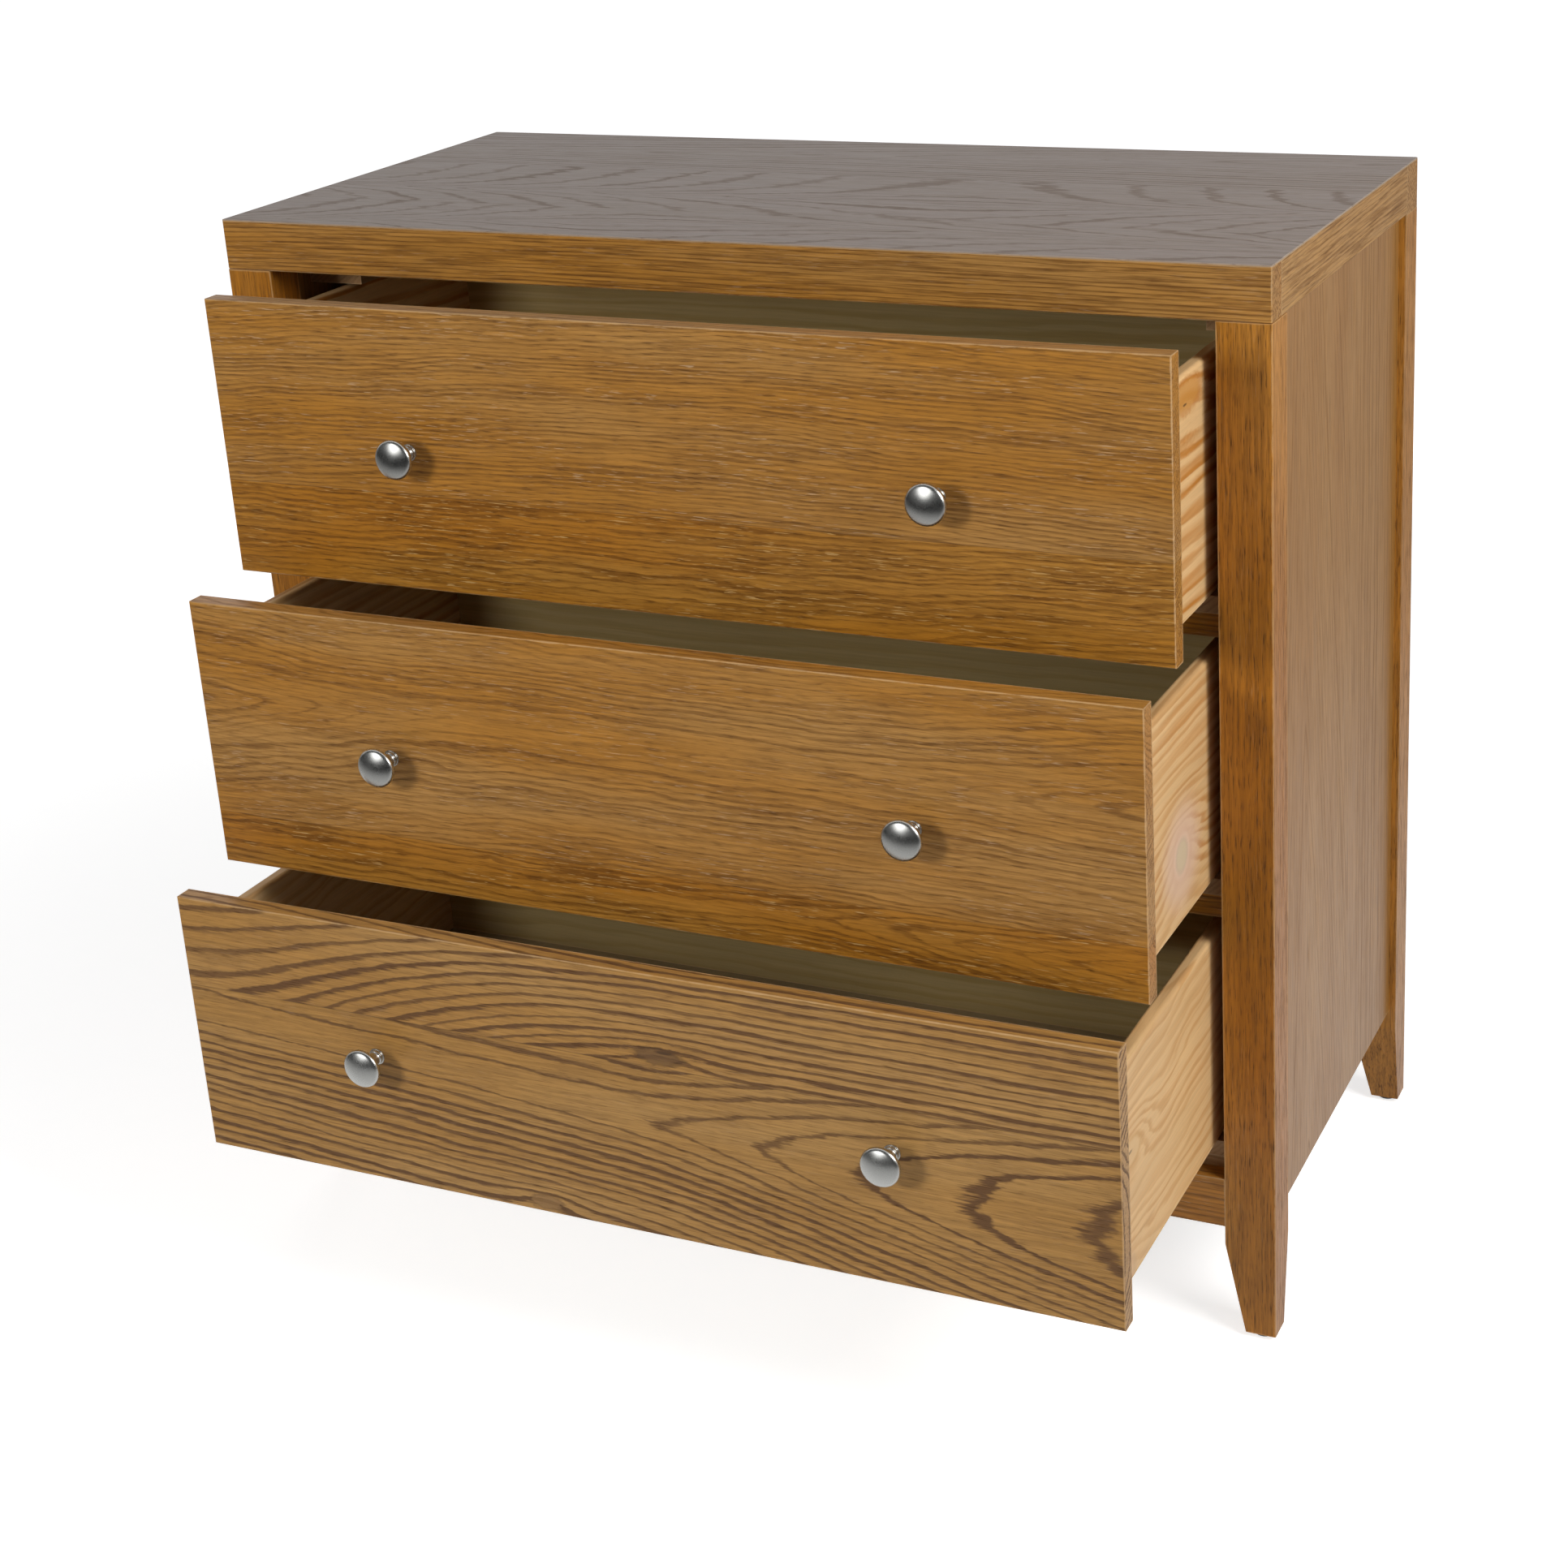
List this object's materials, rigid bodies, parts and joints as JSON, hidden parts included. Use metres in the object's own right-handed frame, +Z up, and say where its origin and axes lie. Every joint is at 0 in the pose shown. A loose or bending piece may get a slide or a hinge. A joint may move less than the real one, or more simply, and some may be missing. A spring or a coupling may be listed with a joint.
{
  "type": "chest of drawers",
  "caption": "Floor-standing wooden chest with full-width drawers that slide on wooden runners, round metal knobs and short tapered legs.",
  "frame": {"origin": "on the floor, under the middle of the carcass", "axes": "+Z up, -Y out of the drawer fronts, +X to the right as seen from the front"},
  "size_m": [0.914, 0.6928, 0.9],
  "materials": {
    "oak_top": "satin lacquered oak veneer with open pores",
    "oak_edge": "satin lacquered oak",
    "oak_front": "satin lacquered oak veneer, grain across",
    "oak_leg": "satin lacquered oak, grain upright",
    "oak_panel": "satin lacquered oak veneer, grain upright",
    "oak_rail": "satin lacquered oak",
    "core_board": "raw board",
    "hardwood": "planed",
    "pine": "clear lacquered pine",
    "plywood": "thin plywood, clear lacquered",
    "nickel": "satin nickel",
    "steel": "zinc plated",
    "strip_nylon": "smooth nylon",
    "glide_plastic": "hard plastic"
  },
  "bodies": {
    "carcass": {"top_veneer": "oak_top", "top_core": "core_board", "top_front_lipping": "oak_edge", "top_back_lipping": "oak_edge", "top_left_lipping": "oak_edge", "top_right_lipping": "oak_edge", "leg_front_left": "oak_leg", "leg_front_right": "oak_leg", "leg_rear_left": "oak_leg", "leg_rear_right": "oak_leg", "leg_glides": "glide_plastic", "side_panel_left": "oak_panel", "side_panel_right": "oak_panel", "back_panel": "plywood", "back_panel_screws": "steel", "divider_rail_upper": "oak_rail", "divider_rail_lower": "oak_rail", "bottom_cross_rail": "hardwood", "bottom_rail": "oak_rail", "rear_rails": "hardwood", "carcass_dowels": "hardwood", "glide_strips": "strip_nylon", "kicker_left": "hardwood", "kicker_right": "hardwood", "runner_top_left": "hardwood", "runner_top_right": "hardwood", "centre_guide_top": "hardwood", "runner_middle_left": "hardwood", "runner_middle_right": "hardwood", "centre_guide_middle": "hardwood", "runner_bottom_left": "hardwood", "runner_bottom_right": "hardwood", "centre_guide_bottom": "hardwood"},
    "drawer_top": {"drawer_top_front": "oak_front", "drawer_top_side_left": "pine", "drawer_top_side_right": "pine", "drawer_top_back": "pine", "drawer_top_bottom": "plywood", "drawer_top_centre_runner": "hardwood", "drawer_top_knob_left": "nickel", "drawer_top_knob_right": "nickel", "drawer_top_knob_screws": "steel"},
    "drawer_middle": {"drawer_middle_front": "oak_front", "drawer_middle_side_left": "pine", "drawer_middle_side_right": "pine", "drawer_middle_back": "pine", "drawer_middle_bottom": "plywood", "drawer_middle_centre_runner": "hardwood", "drawer_middle_knob_left": "nickel", "drawer_middle_knob_right": "nickel", "drawer_middle_knob_screws": "steel"},
    "drawer_bottom": {"drawer_bottom_front": "oak_front", "drawer_bottom_side_left": "pine", "drawer_bottom_side_right": "pine", "drawer_bottom_back": "pine", "drawer_bottom_bottom": "plywood", "drawer_bottom_centre_runner": "hardwood", "drawer_bottom_knob_left": "nickel", "drawer_bottom_knob_right": "nickel", "drawer_bottom_knob_screws": "steel"}
  },
  "joints": [
    {"name": "drawer_top_slide", "type": "slide", "parent": "carcass", "child": "drawer_top", "axis": [0, -1, 0], "range_m": [-0.092, 0.178]},
    {"name": "drawer_middle_slide", "type": "slide", "parent": "carcass", "child": "drawer_middle", "axis": [0, -1, 0], "range_m": [-0.164, 0.106]},
    {"name": "drawer_bottom_slide", "type": "slide", "parent": "carcass", "child": "drawer_bottom", "axis": [0, -1, 0], "range_m": [-0.232, 0.038]}
  ]
}
